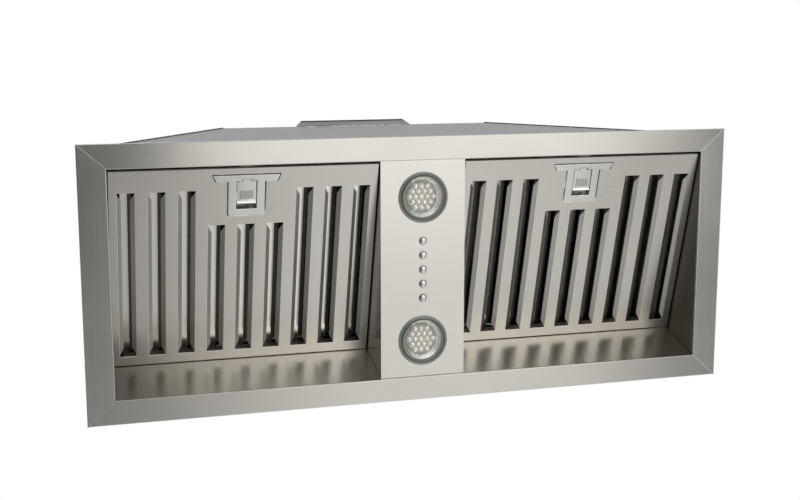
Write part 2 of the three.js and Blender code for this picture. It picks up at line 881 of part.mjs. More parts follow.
// Path of the scroll's wrapper, in (y, z): down the outlet, round the spiral, up the outlet
function scrollPath() {
  const steps = 30
  const sweep = cutoffAngle + 180
  const growth = Math.log(scrollEnd / scrollStart) / sweep
  const spiral = Array.from({ length: steps + 1 }, (_, i) => {
    const turnBy = (sweep * i) / steps
    const angle = radians(cutoffAngle - turnBy)
    const r = scrollStart * Math.exp(growth * turnBy)
    return [impellerY + r * Math.cos(angle), impellerZ + r * Math.sin(angle)]
  })
  return [[spiral[0][0], outletZ], ...spiral, [spiral[steps][0], outletZ]]
}

function blowerHousing() {
  const path = scrollPath()
  const outside = scrollHalf + scrollSheet
  const wrapper = alongX(bentSheet(path, scrollSheet), -outside, outside)
  const frontY = path[path.length - 1][0]
  const rearY = path[0][0]
  const plateShape = () => {
    const shape = outline([...path].reverse())
    const hole = new THREE.Path()
    hole.absarc(impellerY, impellerZ, inletRadius, 0, 2 * Math.PI, true)
    shape.holes.push(hole)
    return shape
  }
  const flange = rectangle(-outletFlange, outletFlange, collarY - outletFlange, collarY + outletFlange)
  flange.holes.push(rectangle(-scrollHalf, scrollHalf, frontY, rearY))
  return join(
    wrapper,
    alongX(plateShape(), scrollHalf, outside, 16),
    alongX(plateShape(), -outside, -scrollHalf, 16),
    alongZ(flange, outletZ - scrollSheet, outletZ),
  )
}

// Bell mouth that leads the air into the impeller's eye
function inletRing() {
  const face = scrollHalf + scrollSheet + seatGap
  const sheet = scrollSheet
  const lip = inletRadius - seatGap
  const eye = impellerHalf + 2
  return turnedAboutShaft([
    [lip - sheet, eye],
    [lip, eye],
    [lip, face],
    [lip + 11, face],
    [lip + 11, face + sheet],
    [lip + 1, face + sheet],
    [lip - sheet, face - 2],
  ])
}

function impeller() {
  const disc = 1
  const ring = 2
  const bore = shaftRadius + 0.1
  const hub = turnedAboutShaft([
    [bore, -hubHalf],
    [hubRadius, -hubHalf],
    [hubRadius, -disc],
    [impellerRadius - 1, -disc],
    [impellerRadius - 1, disc],
    [hubRadius, disc],
    [hubRadius, hubHalf],
    [bore, hubHalf],
  ])
  const endRing = (x) =>
    turnedAboutShaft([
      [impellerInner, x],
      [impellerRadius, x],
      [impellerRadius, x + ring],
      [impellerInner, x + ring],
    ])
  // Forward-curved blade: an arc that leaves the rim leaning into the turn
  const bladeShape = () => {
    const arc = 12
    const bow = 4
    const points = Array.from({ length: 4 }, (_, i) => {
      const t = i / 3
      const r = impellerInner + 0.5 + t * (impellerRadius - impellerInner - 1)
      const swing = radians(arc * t * t) + (bow / r) * t * (1 - t)
      return [r * Math.cos(swing), r * Math.sin(swing)]
    })
    return bentSheet(points, bladeSheet)
  }
  const blade = solidOf(alongX(bladeShape(), -impellerHalf + 1, impellerHalf - 1))
  const blades = Array.from({ length: bladeCount }, (_, i) =>
    blade.rotate([(360 * i) / bladeCount, 0, 0]).translate([0, impellerY, impellerZ]),
  )
  return join(hub, endRing(-impellerHalf), endRing(impellerHalf - ring), ...blades)
}

function motorShaft() {
  const start = -hubHalf - 6
  const end = motorStart + shaftEntry
  return turnedAboutShaft([[0, start], [shaftRadius, start], [shaftRadius, end], [0, end]], 20)
}

function motorBody() {
  const end = motorStart + motorLength
  const bore = shaftRadius + shaftClearance
  const boss = bore + 6
  return turnedAboutShaft([
    [bore, motorStart - 4],
    [boss, motorStart - 4],
    [boss, motorStart],
    [motorRadius - 4, motorStart],
    [motorRadius, motorStart + 4],
    [motorRadius, end - 6],
    [motorRadius - 8, end],
    [0, end],
    [0, motorStart + shaftEntry + seatGap],
    [bore, motorStart + shaftEntry + seatGap],
  ], 32)
}

// Clamp ring on three legs that stand on the housing's side plate
function motorBracket() {
  const foot = scrollHalf + scrollSheet + seatGap
  const start = motorStart + clampStart
  const inside = motorRadius + seatGap
  const band = turnedAboutShaft([
    [inside, start],
    [inside + clampSheet, start],
    [inside + clampSheet, start + clampWidth],
    [inside, start + clampWidth],
  ])
  const reach = inletRadius + legSpread
  const arm = join(
    box(start, start + legSheet, inside + clampSheet / 2, reach + legSheet, -legHalf, legHalf),
    box(foot, start + legSheet, reach, reach + legSheet, -legHalf, legHalf),
    box(foot, foot + legSheet, reach, reach + legFoot, -legHalf, legHalf),
  )
  const arms = [90, -30, -150].map((angle) => arm.rotate([angle, 0, 0]).translate([0, impellerY, impellerZ]))
  return join(band, ...arms)
}

function blower() {
  const ring = asSolid(inletRing())
  place('blower_housing', blowerHousing(), shellSteel)
  place('inlet_ring_right', ring, shellSteel)
  place('inlet_ring_left', mirrored(ring, 1, 0), shellSteel)
  place('impeller', impeller(), shellSteel)
  place('motor_shaft', motorShaft(), polishedSteel)
  place('motor_body', motorBody(), motorPaint)
  place('motor_bracket', motorBracket(), shellSteel)
}

// ---------------------------------------------------------------- duct collar and damper

const collarFootZ = topFaceZ + seatGap
const stopZ = collarFootZ + stopHeight
const flapZ = stopZ + seatGap
const knuckleRadius = pinRadius + knuckleClearance + knuckleSheet
const pinZ = flapZ + knuckleRadius
const collarInside = collarRadius - collarSheet

function ductCollar() {
  const top = collarFootZ + collarHeight
  const bead = top - collarBead
  return turned([
    [collarInside, collarFootZ],
    [collarRadius + collarFlange, collarFootZ],
    [collarRadius + collarFlange, collarFootZ + collarSheet],
    [collarRadius, collarFootZ + collarSheet],
    [collarRadius, bead - 2],
    [collarRadius + 1.5, bead],
    [collarRadius, bead + 2],
    [collarRadius, top],
    [collarInside, top],
    [collarInside, stopZ],
    [collarInside - stopWidth, stopZ],
    [collarInside - stopWidth, stopZ - collarSheet],
    [collarInside, stopZ - collarSheet],
  ], 32).translate(0, collarY, 0)
}

function damperPin() {
  const half = collarInside - seatGap - 0.1
  return new THREE.CylinderGeometry(pinRadius, pinRadius, 2 * half, 16)
    .rotateZ(Math.PI / 2)
    .translate(0, collarY, pinZ)
}

// Half-disc with two knuckles round the pin; `side` is -1 for the front flap
function damperFlap(side, knuckles) {
  const reach = collarInside - flapClearance
  const start = knuckleRadius + knuckleClearance
  const half = Math.sqrt(reach * reach - start * start)
  const startAngle = Math.asin(start / reach)
  const shape = new THREE.Shape()
  shape.moveTo(half, start)
  shape.absarc(0, 0, reach, startAngle, Math.PI - startAngle, false)
  const plate = alongZ(shape, flapZ, flapZ + flapSheet, 16)
  const rings = knuckles.flatMap((x) => {
    const ring = turned([
      [pinRadius + knuckleClearance, x],
      [knuckleRadius, x],
      [knuckleRadius, x + knuckleLength],
      [pinRadius + knuckleClearance, x + knuckleLength],
    ], 20).rotateY(Math.PI / 2).translate(0, 0, pinZ)
    const web = box(x, x + knuckleLength, knuckleClearance, start + 1, flapZ, flapZ + flapSheet)
    const bore = turned([
      [0, x - 1],
      [pinRadius + knuckleClearance, x - 1],
      [pinRadius + knuckleClearance, x + knuckleLength + 1],
      [0, x + knuckleLength + 1],
    ], 20).rotateY(Math.PI / 2).translate(0, 0, pinZ)
    return [ring, cut(web, bore)]
  })
  const flap = join(plate, ...rings)
  return (side > 0 ? flap : flap.mirror([0, 1, 0])).translate([0, collarY, 0])
}

function ductOutlet() {
  const spread = collarRadius * 0.55
  const offset = knuckleLength + 1
  place('duct_collar', ductCollar(), shellSteel)
  place('damper_pin', damperPin(), polishedSteel)
  place('damper_flap_front', damperFlap(-1, [-spread, spread - offset]), latchSteel)
  place('damper_flap_rear', damperFlap(1, [-spread + offset, spread]), latchSteel)
}

// ---------------------------------------------------------------- wiring box

function wiringBox() {
  const foot = topFaceZ + seatGap
  const halfX = wiringLength / 2
  const halfY = wiringWidth / 2
  const body = box(-halfX, halfX, -halfY, halfY, foot, foot + wiringHeight)
  const room = box(-halfX + wiringSheet, halfX - wiringSheet, -halfY + wiringSheet, halfY - wiringSheet,
    foot + wiringSheet, foot + wiringHeight + 1)
  const knockout = new THREE.CylinderGeometry(knockoutRadius, knockoutRadius, 4 * wiringSheet, 24)
    .translate(0, halfY, foot + wiringHeight / 2)
  return cut(body, room, knockout).translate([wiringX, wiringY, 0])
}

function wiringCover() {
  const foot = topFaceZ + seatGap + wiringHeight + seatGap
  const halfX = wiringLength / 2
  const halfY = wiringWidth / 2
  const lip = wiringSheet + seatGap
  const plate = box(-halfX, halfX, -halfY, halfY, foot, foot + wiringSheet)
  const plug = box(-halfX + lip, halfX - lip, -halfY + lip, halfY - lip, foot - 4, foot + wiringSheet / 2)
  const room = box(-halfX + 2 * lip, halfX - 2 * lip, -halfY + 2 * lip, halfY - 2 * lip, foot - 5, foot)
  return cut(join(plate, plug), room).translate([wiringX, wiringY, 0])
}

function wiring() {
  place('wiring_box', wiringBox(), shellSteel)
  place('wiring_box_cover', wiringCover(), shellSteel)
}

// ---------------------------------------------------------------- assembly

trimStrips()
shell()
filterBays()
baffleFilters()
centreColumn()
blower()
ductOutlet()
wiring()

model.updateMatrixWorld(true)

export default model
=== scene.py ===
import math

import bmesh
import bpy
from mathutils import Matrix, Vector


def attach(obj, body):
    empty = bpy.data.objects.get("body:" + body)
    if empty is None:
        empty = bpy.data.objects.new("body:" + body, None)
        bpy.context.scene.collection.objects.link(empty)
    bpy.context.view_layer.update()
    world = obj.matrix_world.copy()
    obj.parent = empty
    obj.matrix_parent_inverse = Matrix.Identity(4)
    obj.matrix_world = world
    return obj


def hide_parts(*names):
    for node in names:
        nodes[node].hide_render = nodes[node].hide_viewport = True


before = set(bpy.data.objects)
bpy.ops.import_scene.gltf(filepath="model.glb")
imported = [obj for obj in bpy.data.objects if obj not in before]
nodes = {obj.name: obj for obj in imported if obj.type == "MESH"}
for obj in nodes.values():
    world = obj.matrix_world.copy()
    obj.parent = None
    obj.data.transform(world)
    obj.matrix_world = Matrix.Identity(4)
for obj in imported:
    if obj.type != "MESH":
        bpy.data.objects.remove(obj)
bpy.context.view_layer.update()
scene = bpy.context.scene

# ---------------------------------------------------------------- camera
# The photographer stands below and to the left of the hood and looks up at its open face, with
# the front wall at the top of the picture.
camera_place = Vector((-0.479712, -0.307105, -1.526171))
camera_right = Vector((0.959565, 0.000296, -0.281488))
camera_up = Vector((0.048953, -0.984937, 0.165838))
camera_lens = 56.394

camera = bpy.data.objects.new("camera", bpy.data.cameras.new("camera"))
scene.collection.objects.link(camera)
facing = Matrix((camera_right, camera_up, camera_right.cross(camera_up))).transposed()
camera.matrix_world = Matrix.Translation(camera_place) @ facing.to_4x4()
camera.data.lens = camera_lens
camera.data.sensor_width = 36
camera.data.clip_start = 0.01
camera.data.clip_end = 100
scene.camera = camera
scene.view_settings.view_transform = "Standard"

# ---------------------------------------------------------------- studio
# A white studio all round. Printed cards, which only glossy reflections see, stand below the hood
# and beside it: they give the steel its light middle and its dark ends.


class Wire:
    """An output socket: Python's arithmetic on it adds Math nodes, and node() adds any other."""

    def __init__(self, tree, socket=None):
        self.tree = tree
        self.socket = socket

    def node(self, kind, settings, values, output=0):
        """Adds a node, with its settings first and then its sockets' values or links."""
        made = self.tree.nodes.new(kind)
        for key, value in settings.items():
            setattr(made, key, value)
        for key, value in values.items():
            if isinstance(value, Wire):
                self.tree.links.new(value.socket, made.inputs[key])
            else:
                made.inputs[key].default_value = value
        return Wire(self.tree, made.outputs[output])

    def also(self, output):
        """Another output of the same node."""
        return Wire(self.tree, self.socket.node.outputs[output])

    def math(self, operation, *terms):
        return self.node("ShaderNodeMath", {"operation": operation}, dict(enumerate(terms)))

    def mix(self, a, b):
        """The colour a where this wire is 0 and b where it is 1."""
        return self.node("ShaderNodeMix", {"data_type": "RGBA"}, {0: self, 6: a, 7: b}, 2)

    def ease(self, low, high):
        """0 up to low, 1 from high on, and a smooth step between them."""
        settings = {"interpolation_type": "SMOOTHSTEP"}
        values = {"Value": self, "From Min": low, "From Max": high}
        return self.node("ShaderNodeMapRange", settings, values)

    def feed(self, node, socket):
        self.tree.links.new(self.socket, node.inputs[socket])

    def __add__(self, other):
        return self.math("ADD", self, other)

    def __radd__(self, other):
        return self.math("ADD", other, self)

    def __sub__(self, other):
        return self.math("SUBTRACT", self, other)

    def __rsub__(self, other):
        return self.math("SUBTRACT", other, self)

    def __mul__(self, other):
        return self.math("MULTIPLY", self, other)

    def __rmul__(self, other):
        return self.math("MULTIPLY", other, self)


world = bpy.data.worlds.new("studio")
scene.world = world
world.use_nodes = True
world_tree = world.node_tree
world_light = world_tree.nodes["Background"]
ray = Wire(world_tree).node("ShaderNodeLightPath", {}, {})
mirrored = ray.math("MAXIMUM", ray.also("Is Glossy Ray"), ray.also("Is Transmission Ray"))
shown = ray.math("MAXIMUM", ray.also("Is Camera Ray"), mirrored)
room_level = 0.75
(shown * (1 - room_level) + room_level).feed(world_light, "Strength")
world_light.inputs["Color"].default_value = (1, 1, 1, 1)


def unshaded(name):
    """A new material with no shader yet: the material, its node tree and its output node."""
    material = bpy.data.materials.new(name)
    material.use_nodes = True
    tree = material.node_tree
    tree.nodes.remove(tree.nodes["Principled BSDF"])
    return material, tree, tree.nodes["Material Output"]


def quad(name, corners, material, hidden_from):
    """A quadrilateral of the studio; hidden_from lists the kinds of ray that don't see it."""
    mesh = bpy.data.meshes.new(name)
    mesh.from_pydata(corners, [], [(0, 1, 2, 3)])
    mesh.materials.append(material)
    made = bpy.data.objects.new(name, mesh)
    scene.collection.objects.link(made)
    for kind in hidden_from:
        setattr(made, f"visible_{kind}", False)


def card(name, corners, dark, light):
    """A card that only glossy reflections see. Returns a wire with the place on it, split in X, Y and
    Z, and a function that prints it from its dark colour, at 0, to its light one, at 1."""
    paint, tree, output = unshaded(name)
    quad(name, corners, paint, ("camera", "diffuse", "transmission", "shadow"))
    place = Wire(tree).node("ShaderNodeNewGeometry", {}, {})
    split = place.node("ShaderNodeSeparateXYZ", {}, {"Vector": place})

    def print_with(tone):
        colour = tone.mix((*dark, 1), (*light, 1))
        tone.node("ShaderNodeEmission", {}, {"Color": colour}).feed(output, "Surface")

    return split, print_with


# The lower card is what the brushed faces mirror: x runs across the hood and y along its depth. The
# light rises from the left, falls towards the right, and has a bright window by the front.
window_light = (2.6, 2.57, 2.49)
place, print_card = card(
    "lower_card",
    [(-3.2, -2.0, -2), (4.4, -2.0, -2), (4.4, 4.0, -2), (-3.2, 4.0, -2)],
    (0.0, 0.0, 0.0),
    window_light,
)
across, along = place.also("X"), place.also("Y")
slope = along.ease(0.0, 0.75)
deep = along.ease(0.9, 1.7)
front = along.ease(-1.15, -0.85)
rise = across.ease(slope * -0.19 - 0.22, slope * 0.5 + 0.03)
fall = across.ease(slope * -0.06 + 1.17, slope * -0.14 + 1.67) * (0.96 + slope * 0.04 - deep * 0.64)
beyond = across.ease(2.0, 2.4) * (1 - along.ease(0.9, 1.3))
dark = slope * 0.15 + 0.13
bright = 1.26 - along.ease(0.03, 0.42) * 0.33 - deep * 0.06
middle = dark + rise * (1 - fall) * front * (bright - dark)
window = front * (1 - along.ease(-0.42, -0.28)) * across.ease(0.3, 0.5) * (1 - across.ease(1.3, 1.5))
print_card((middle + (1.1 - middle) * beyond + window * 1.3) * (1 / window_light[0]))

# Side cards fade from grey at the foot to near white, and the upper card is greyest in its middle.
cards_top = 3
for name, start, end, foot, low, high in (
    ("left_card", (-2.9, -5), (-2.9, 5), -2, 0.24, 0.92),
    ("right_card", (3.2, -5), (3.2, 5), -2, 0.42, 0.95),
    ("back_card", (-2.9, 5), (3.2, 5), -1, 0.50, 0.95),
    ("front_card", (-2.9, -5), (3.2, -5), -1, 0.50, 0.95),
):
    corners = [(*start, foot), (*end, foot), (*end, cards_top), (*start, cards_top)]
    place, print_card = card(name, corners, (low, low, low * 0.98), (high, high, high))
    print_card(place.also("Z").ease(-0.2, 2.4))
place, print_card = card(
    "upper_card",
    [(-2.9, -5, cards_top), (3.2, -5, cards_top), (3.2, 5, cards_top), (-2.9, 5, cards_top)],
    (0.50, 0.50, 0.505),
    (0.95, 0.95, 0.95),
)
across, along = place.also("X"), place.also("Y")
print_card(across.math("MAXIMUM", (along * along).ease(2.6, 12.0), 1 - across.ease(-2.4, -0.8)))

# The floor is white from above, and clear from below, where the photographer stands.
floor_half = 9
floor_level = -0.26
floor_paint, floor_tree, floor_output = unshaded("floor")
quad(
    "floor",
    [
        (-floor_half, -floor_half, floor_level),
        (floor_half, -floor_half, floor_level),
        (floor_half, floor_half, floor_level),
        (-floor_half, floor_half, floor_level),
    ],
    floor_paint,
    ("glossy", "diffuse", "transmission", "shadow"),
)
underside = Wire(floor_tree).node("ShaderNodeNewGeometry", {}, {}).also("Backfacing")
matt = Wire(floor_tree).node("ShaderNodeBsdfDiffuse", {}, {"Color": (0.8, 0.8, 0.8, 1)})
glow = Wire(floor_tree).node("ShaderNodeEmission", {}, {"Strength": 0.35})
white = matt.node("ShaderNodeAddShader", {}, {0: matt, 1: glow})
clear = Wire(floor_tree).node("ShaderNodeBsdfTransparent", {}, {})
white.node("ShaderNodeMixShader", {}, {0: underside, 1: white, 2: clear}).feed(floor_output, "Surface")


def lamp(name, place, target, size, power):
    """A soft rectangular lamp at a place, turned to its target; no camera or mirror sees it."""
    light = bpy.data.lights.new(name, "AREA")
    light.shape = "RECTANGLE"
    light.size, light.size_y = size
    light.energy = power
    made = bpy.data.objects.new(name, light)
    scene.collection.objects.link(made)
    made.location = place
    made.rotation_euler = (Vector(target) - Vector(place)).to_track_quat("-Z", "Y").to_euler()
    made.visible_camera = False
    made.visible_glossy = False


lamp("soft_light_above", (-1.4, -1.8, 2.4), (0, 0, 0.2), (1.6, 1.2), 30)
lamp("soft_light_behind", (1.8, 1.6, 1.8), (0, 0, 0.2), (1.4, 1.0), 18)
lamp("soft_light_below", (0.9, 0.4, -1.9), (0, 0, 0), (1.0, 0.8), 14)

# ---------------------------------------------------------------- trim frame
# Four strips of brushed stainless sheet, hemmed along both edges and mitred at the corners, where
# a fine weld is ground flush. The grain of each runs along the strip.


def finish(name, dark, light, roughness, grain, relief=0.05, metallic=1.0, patches=0.5, painted_shade_x=None):
    """A finish between two colours. grain is how tightly its brush lines or specks are packed along
    each axis, per metre, relief their depth, and patches the share of soft clouds in the colour; the
    x span given last sets where the finish passes from its dark colour to its light one: painted shade."""
    material = bpy.data.materials.new(name)
    material.use_nodes = True
    tree = material.node_tree
    shader = tree.nodes["Principled BSDF"]
    place = Wire(tree).node("ShaderNodeTexCoord", {}, {}).also("Object")
    stretched = place.node("ShaderNodeMapping", {}, {"Vector": place, "Scale": grain})
    noise = {"Vector": stretched, "Scale": 1.0, "Detail": 3.0, "Roughness": 0.65}
    lines = place.node("ShaderNodeTexNoise", {}, noise)
    cloud = {"Vector": place, "Scale": 7.0, "Detail": 2.0, "Roughness": 0.5}
    cloudy = place.node("ShaderNodeTexNoise", {}, cloud)
    tone = lines * (1 - patches) + cloudy * patches
    tone = tone.ease(0.3, 0.7)
    # Painted shade: the finish darkens towards one end along x.
    if painted_shade_x:
        sideways = place.node("ShaderNodeSeparateXYZ", {}, {"Vector": place})
        tone = (tone * 0.2 + 0.8) * sideways.ease(*painted_shade_x)
    tone.mix((*dark, 1), (*light, 1)).feed(shader, "Base Color")
    (roughness + (lines - 0.5) * 0.12 + (cloudy - 0.5) * 0.06).feed(shader, "Roughness")
    shader.inputs["Metallic"].default_value = metallic
    if relief:
        bump = {"Height": lines, "Strength": relief, "Distance": 0.0003}
        lines.node("ShaderNodeBump", {}, bump).feed(shader, "Normal")
    return material


def rounded(made, width, segments, limit):
    """Rounds a node's edges with a bevel, which it returns, and keeps its flat faces flat."""
    for face in made.data.polygons:
        face.use_smooth = True
    weld = made.modifiers.new("weld", "WELD")
    weld.merge_threshold = 0.00001
    bevel = made.modifiers.new("edge", "BEVEL")
    bevel.width = width
    bevel.segments = segments
    bevel.limit_method = limit
    even = made.modifiers.new("even", "WEIGHTED_NORMAL")
    even.weight = 80
    even.keep_sharp = False
    return bevel


def dress(node, material, edge=0.0, angle=38, fold=None):
    """Gives a CAD node its material and rounds the edges that are sharper than `angle` by a small
    radius; fold is the rounding's own material, painted bright as a painted highlight."""
    made = nodes[node]
    made.data.materials.clear()
    made.data.materials.append(material)
    if edge:
        bevel = rounded(made, edge, 2, "ANGLE")
        bevel.angle_limit = math.radians(angle)
        if fold:
            made.data.materials.append(fold)
            bevel.material = 1
            bevel.use_clamp_overlap = False


inner_fold_radius = 0.0018
outer_fold_share = 0.34
opening_half_x, opening_half_y = 0.397, 0.143


def round_along(node, axis, inner, polish):
    """Rounds the folds of a trim strip, which run along one axis: fully on the opening's side, whose
    other coordinate is near `inner`, and less on a short strip's outside. Its mitres stay sharp."""
    mesh = nodes[node].data
    # polish is the fold paint: a painted highlight on the rounding.
    mesh.materials.append(polish)
    outside = outer_fold_share if axis == 1 else 0.0
    weights = mesh.attributes.new("bevel_weight_edge", "FLOAT", "EDGE")
    for edge in mesh.edges:
        a, b = (mesh.vertices[i].co for i in edge.vertices)
        run = (b - a).normalized()
        underside_fold = max(a.z, b.z) < 0.0004 and abs(run[axis]) > 0.9999
        by_opening = abs(abs(a[1 - axis]) - inner) < 0.002
        weights.data[edge.index].value = (1.0 if by_opening else outside) if underside_fold else 0.0
    bevel = rounded(nodes[node], inner_fold_radius, 4, "WEIGHT")
    bevel.material = 1


def piece(name, vertices, faces, material, body="hood", stands_for=(), smooth=35):
    """A mesh piece that moves with a body. Its edges sharper than `smooth` degrees stay crisp."""
    build = bmesh.new()
    made_vertices = [build.verts.new(vertex) for vertex in vertices]
    for face in faces:
        build.faces.new([made_vertices[i] for i in face])
    bmesh.ops.remove_doubles(build, verts=build.verts, dist=1e-7)
    bmesh.ops.recalc_face_normals(build, faces=build.faces)
    mesh = bpy.data.meshes.new(name)
    build.to_mesh(mesh)
    build.free()
    mesh.shade_smooth()
    mesh.set_sharp_from_angle(angle=math.radians(smooth))
    mesh.materials.append(material)
    made = bpy.data.objects.new(name, mesh)
    scene.collection.objects.link(made)
    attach(made, body)
    if stands_for:
        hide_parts(*stands_for)


def prism_faces(sides, stations, closed):
    """The faces of a bar whose outline has so many sides and is placed at so many stations."""
    faces = [
        (i * sides + j, i * sides + k, (i + 1) * sides + k, (i + 1) * sides + j)
        for i in range(stations - 1)
        for j, k in zip(range(sides), [*range(1, sides), 0])
    ]
    if closed:
        faces += [tuple(range(sides)), tuple(range((stations - 1) * sides, stations * sides))]
    return faces


trim_along_x = finish("trim_long", (0.60, 0.585, 0.555), (0.66, 0.645, 0.615), 0.20, (5, 1700, 1700))
trim_along_y = finish("trim_short", (0.60, 0.585, 0.555), (0.66, 0.645, 0.615), 0.20, (1700, 5, 1700))
# The trim's rounded inner folds are painted near white: a painted highlight.
fold_highlight_paint = finish("trim_fold_painted_highlight", (0.93, 0.92, 0.90), (0.96, 0.95, 0.93), 0.24, (20, 20, 20), 0.0)
for name in ("front_trim", "rear_trim"):
    dress(name, trim_along_x)
    round_along(name, 0, opening_half_y, fold_highlight_paint)
for name in ("left_trim", "right_trim"):
    dress(name, trim_along_y)
    round_along(name, 1, opening_half_x, fold_highlight_paint)

# The ground weld in each mitre: a shallow bead from the inner corner to the outer one.
seam_steel = finish("mitre_weld", (0.52, 0.51, 0.485), (0.62, 0.61, 0.585), 0.32, (90, 90, 90))
mitre_inner = Vector((opening_half_x - 0.0002, opening_half_y - 0.0002, 0))
mitre_outer = Vector((0.4314, 0.1734, 0))
mitre_run = (mitre_outer - mitre_inner).normalized()
mitre_side = Vector((-mitre_run.y, mitre_run.x, 0))
bead_section = [
    (-0.0003, 0.0012),
    (-0.0011, 0.0),
    (-0.0004, -0.00004),
    (0.0004, -0.00004),
    (0.0011, 0.0),
    (0.0003, 0.0012),
]
bead_stations = 13
bead_faces = prism_faces(len(bead_section), bead_stations, closed=True)
for corner, flip_x, flip_y in (
    ("front_left", -1, -1),
    ("front_right", 1, -1),
    ("rear_left", -1, 1),
    ("rear_right", 1, 1),
):
    points = []
    for i in range(bead_stations):
        centre = mitre_inner.lerp(mitre_outer, i / (bead_stations - 1))
        swell = 1 + 0.12 * math.sin(2.3 * i)
        for side, z in bead_section:
            spot = centre + mitre_side * side * swell
            points.append((spot.x * flip_x, spot.y * flip_y, z))
    piece(f"mitre_weld_{corner}", points, bead_faces, seam_steel, smooth=60)

# ---------------------------------------------------------------- shell
# Plain mill-finish sheet, folded and riveted: front and rear walls, sloping sides, a top plate, and
# a hanging bracket over each rim.
wall_half_y = 0.163
wall_top_z = 0.342
skirt_top_z = 0.052
foot_half_x = 0.421
top_half_x = 0.2077
upright = (900, 900, 6)
sideways = (6, 900, 900)
shell_steel = finish("shell_sheet", (0.465, 0.46, 0.458), (0.525, 0.52, 0.518), 0.30, upright, 0.03)
top_steel = finish("top_sheet", (0.50, 0.505, 0.51), (0.56, 0.565, 0.57), 0.34, sideways, 0.03)
bracket_steel = finish("bracket_sheet", (0.29, 0.29, 0.275), (0.34, 0.34, 0.325), 0.34, sideways, 0.03)
for name in ("shell_front", "shell_rear", "shell_left", "shell_right"):
    dress(name, shell_steel, 0.0004, 15)
dress("top_plate", top_steel, 0.0003)
dress("hanging_bracket_front", bracket_steel, 0.0003)
dress("hanging_bracket_rear", bracket_steel, 0.0003)


def turned(
    name, profile, place, axis, material, body="hood", stands_for=(), turns=32, smooth=35, radius_at=None
):
    """A piece turned about `axis` through `place`; profile is a closed list of (radius, height), and
    radius_at may vary the radius round the axis."""
    turn_to = Vector(axis).to_track_quat("Z", "Y").to_matrix()
    points = []
    for radius, rise_by in profile:
        for i in range(turns):
            turn = 2 * math.pi * i / turns
            r = radius_at(radius, i) if radius_at else radius
            spot = Vector((r * math.cos(turn), r * math.sin(turn), rise_by))
            points.append(turn_to @ spot + Vector(place))
    faces = []
    rings = len(profile)
    for ring in range(rings):
        after = (ring + 1) % rings
        on_axis, after_on_axis = profile[ring][0] == 0, profile[after][0] == 0
        if on_axis and after_on_axis:
            continue
        for i in range(turns):
            j = (i + 1) % turns
            corners = [ring * turns + i, ring * turns + j, after * turns + j, after * turns + i]
            if on_axis:
                corners = [ring * turns] + corners[2:]
            elif after_on_axis:
                corners = corners[:2] + [after * turns]
            faces.append(corners)
    used = {}
    for corners in faces:
        for corner in corners:
            used.setdefault(corner, len(used))
    faces = [[used[corner] for corner in corners] for corners in faces]
    piece(name, [points[corner] for corner in used], faces, material, body, stands_for, smooth)


rivet_steel = finish("rivet_steel", (0.50, 0.50, 0.495), (0.58, 0.58, 0.575), 0.34, (200, 200, 200), 0.0)


def rivet(name, place, axis, radius):
    """A domed blind rivet with its broken mandrel in the middle; its head sits on the sheet."""
    high = radius * 0.42
    profile = [
        (0, -0.0004),
        (radius * 0.6, -0.0004),
        (radius, 0.0),
        (radius, high * 0.35),
        (radius * 0.86, high * 0.75),
        (radius * 0.6, high),
        (radius * 0.42, high),
        (radius * 0.36, high * 0.55),
        (radius * 0.24, high * 0.55),
        (radius * 0.2, high * 0.8),
        (0, high * 0.85),
    ]
    turned(name, profile, place, axis, rivet_steel, turns=20)


def wall_half_x(z):
    """Half the width of the front and rear walls at a height."""
    lean = (foot_half_x - top_half_x) / (wall_top_z - skirt_top_z)
    return foot_half_x - max(z - skirt_top_z, 0) * lean


wall_rivet_heights = (0.030, 0.092, 0.150, 0.208, 0.266, 0.322)
bracket_rivet_z = 0.3392
for wall, side in (("front", -1), ("rear", 1)):
    for i, z in enumerate(wall_rivet_heights):
        for end, flip in (("left", -1), ("right", 1)):
            inset = 0.010 if z < skirt_top_z else 0.012
            spot = (flip * (wall_half_x(z) - inset), side * wall_half_y, z)
            rivet(f"{wall}_wall_rivet_{end}_{i + 1}", spot, (0, side, 0), 0.0020)
    for i, x in enumerate((-0.078, -0.026, 0.026, 0.078)):
        place = (x, side * wall_half_y, bracket_rivet_z)
        rivet(f"{wall}_bracket_rivet_{i + 1}", place, (0, side, 0), 0.0019)

# The edges of the walls and the fold along the top of each bracket are narrow bars painted near
# black: painted shade. Small tabs painted near white stand in the slots along each rim: painted glints.
edge_shade_paint = finish("wall_edge_painted_shade", (0.055, 0.055, 0.053), (0.09, 0.09, 0.087), 0.5, (60, 60, 60), 0.0, 0.4)
rim_glint_paint = finish("rim_painted_glints", (0.90, 0.90, 0.89), (0.95, 0.95, 0.94), 0.45, (60, 60, 60), 0.0, 0.2)


def bar(name, start, end, wide, thick, material, body="hood"):
    """A flat bar from start to end; wide is the offset across it and thick its thickness offset."""
    start, end, wide, thick = Vector(start), Vector(end), Vector(wide), Vector(thick)
    base = [start, end, end + wide, start + wide]
    corners = base + [corner + thick for corner in base]
    piece(name, corners, prism_faces(4, 2, closed=True), material, body)


